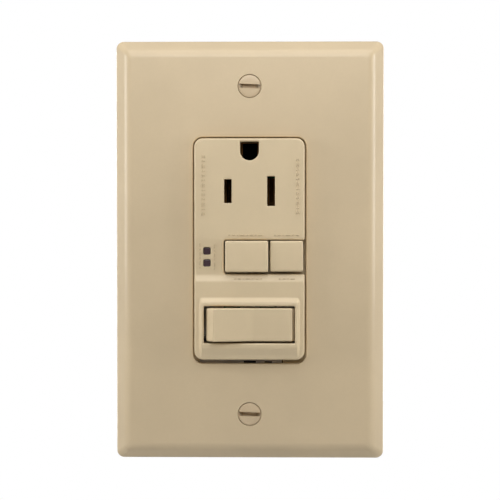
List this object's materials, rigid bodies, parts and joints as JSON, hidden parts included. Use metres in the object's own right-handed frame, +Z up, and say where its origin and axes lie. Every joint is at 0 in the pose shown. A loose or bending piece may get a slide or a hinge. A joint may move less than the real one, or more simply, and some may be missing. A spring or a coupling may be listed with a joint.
{
  "type": "ground fault outlet with switch",
  "caption": "Decorator-style ground-fault outlet with a rocker switch, test and reset buttons, wall plate, mounting strap, trip mechanism and rear wiring housing.",
  "frame": {"origin": "on the wall plane, at the device's centre, midway between the two box screws", "axes": "+X to the right as seen from the room, +Y into the wall, +Z up"},
  "size_m": [0.0794, 0.0448, 0.1238],
  "materials": {
    "ivory_plastic": "semi-gloss moulded plastic",
    "face_plastic": "semi-gloss moulded plastic",
    "painted_screw": "baked enamel matching the plate",
    "zinc_steel": "zinc plated",
    "black_plastic": "fine moulded grain",
    "white_nylon": "satin",
    "brass": "rolled, satin",
    "silver_plate": "nickel plated",
    "copper": "bright copper alloy",
    "enamelled_wire": "varnished winding",
    "green_screw": "green dyed zinc",
    "fibre_washer": "pressed fibre",
    "smoked_lens": "dark translucent acrylic",
    "led_body": "clear epoxy",
    "board_laminate": "solder mask on glass laminate",
    "ferrite_tape": "taped winding",
    "chip_epoxy": "moulded epoxy",
    "varistor_coat": "dipped epoxy",
    "capacitor_sleeve": "shrunk film",
    "resistor_body": "lacquered"
  },
  "bodies": {
    "housing": {"wall_plate": "ivory_plastic", "plate_screws": "painted_screw", "mounting_strap": "zinc_steel", "box_screws": "zinc_steel", "screw_retainers": "fibre_washer", "ground_terminal_screw": "green_screw", "front_cover": "face_plastic", "light_pipes": "smoked_lens", "inner_frame": "white_nylon", "rear_housing": "black_plastic", "housing_screws": "zinc_steel", "hot_contact": "brass", "neutral_contact": "brass", "ground_contact": "brass", "ground_contact_rivets": "zinc_steel", "line_hot_terminal": "brass", "line_neutral_terminal": "silver_plate", "load_hot_terminal": "brass", "load_neutral_terminal": "silver_plate", "brass_terminal_screws": "brass", "silver_terminal_screws": "silver_plate", "switch_terminal_screws": "chip_epoxy", "clamp_plates": "zinc_steel", "circuit_board": "board_laminate", "solenoid_bobbin": "white_nylon", "solenoid_coil": "enamelled_wire", "solenoid_frame": "zinc_steel", "plunger_spring": "zinc_steel", "sense_transformer": "ferrite_tape", "neutral_transformer": "ferrite_tape", "primary_conductors": "copper", "control_chip": "chip_epoxy", "power_scr": "chip_epoxy", "surge_varistor": "varistor_coat", "filter_capacitor": "capacitor_sleeve", "resistors": "resistor_body", "diodes": "chip_epoxy", "indicator_leds": "led_body", "reset_spring": "zinc_steel", "trip_spring": "zinc_steel", "fixed_contact_points": "silver_plate", "arm_posts": "brass", "switch_common_terminal": "brass", "switch_load_terminal": "brass"},
    "rocker": {"rocker_paddle": "face_plastic", "switch_plunger": "white_nylon", "switch_spring": "zinc_steel"},
    "switch_arm": {"switch_contact_arm": "copper", "switch_moving_contact": "silver_plate"},
    "test": {"test_button": "face_plastic"},
    "test_leaf": {"test_contact_leaf": "brass"},
    "reset": {"reset_button": "face_plastic", "reset_pin": "zinc_steel"},
    "plunger": {"solenoid_plunger": "zinc_steel"},
    "lifter": {"contact_lifter": "white_nylon"},
    "latch": {"latch_plate": "zinc_steel"},
    "hot_arm": {"hot_contact_arm": "copper", "hot_moving_contact": "silver_plate"},
    "neutral_arm": {"neutral_contact_arm": "copper", "neutral_moving_contact": "silver_plate"}
  },
  "joints": [
    {"name": "rocker_pivot", "type": "hinge", "parent": "housing", "child": "rocker", "pos_m": [0, -0.0013, -0.02173], "axis": [0, 0, 1], "range_deg": [-12, 0]},
    {"name": "switch_arm_pivot", "type": "hinge", "parent": "housing", "child": "switch_arm", "pos_m": [0, 0.0118, -0.02173], "axis": [0, 0, 1], "range_deg": [0, 12]},
    {"name": "test_press", "type": "slide", "parent": "housing", "child": "test", "axis": [0, 1, 0], "range_m": [0, 0.0012], "stiffness_N_per_m": 400, "springref_m": -0.001},
    {"name": "test_leaf_flex", "type": "hinge", "parent": "housing", "child": "test_leaf", "pos_m": [0.0166, 0.003, -0.0016], "axis": [0, 0, 1], "range_deg": [-12.6, 0]},
    {"name": "reset_press", "type": "slide", "parent": "housing", "child": "reset", "axis": [0, 1, 0], "range_m": [-0.0012, 0.002], "stiffness_N_per_m": 400, "deforming": ["reset_spring"]},
    {"name": "plunger_slide", "type": "slide", "parent": "housing", "child": "plunger", "axis": [-1, 0, 0], "range_m": [0, 0.0016], "stiffness_N_per_m": 50, "deforming": ["plunger_spring"]},
    {"name": "lifter_slide", "type": "slide", "parent": "housing", "child": "lifter", "axis": [0, 1, 0], "range_m": [0, 0.002], "stiffness_N_per_m": 50, "deforming": ["trip_spring"]},
    {"name": "latch_slide", "type": "slide", "parent": "lifter", "child": "latch", "axis": [-1, 0, 0], "range_m": [0, 0.0016]},
    {"name": "hot_arm_flex", "type": "hinge", "parent": "housing", "child": "hot_arm", "pos_m": [-0.0167, 0.0115, 0.0065], "axis": [0, 0, 1], "range_deg": [0, 12.2]},
    {"name": "neutral_arm_flex", "type": "hinge", "parent": "housing", "child": "neutral_arm", "pos_m": [0.0167, 0.0115, 0.0065], "axis": [0, 0, 1], "range_deg": [-12.2, 0]}
  ],
  "couplings": [
    {"joint": "switch_arm_pivot", "follows": "rocker_pivot", "ratio": -1},
    {"joint": "test_leaf_flex", "follows": "test_press", "rad_per_m": -180},
    {"joint": "latch_slide", "follows": "plunger_slide", "ratio": 1},
    {"joint": "hot_arm_flex", "follows": "lifter_slide", "rad_per_m": 105.3},
    {"joint": "neutral_arm_flex", "follows": "lifter_slide", "rad_per_m": -105.3}
  ]
}
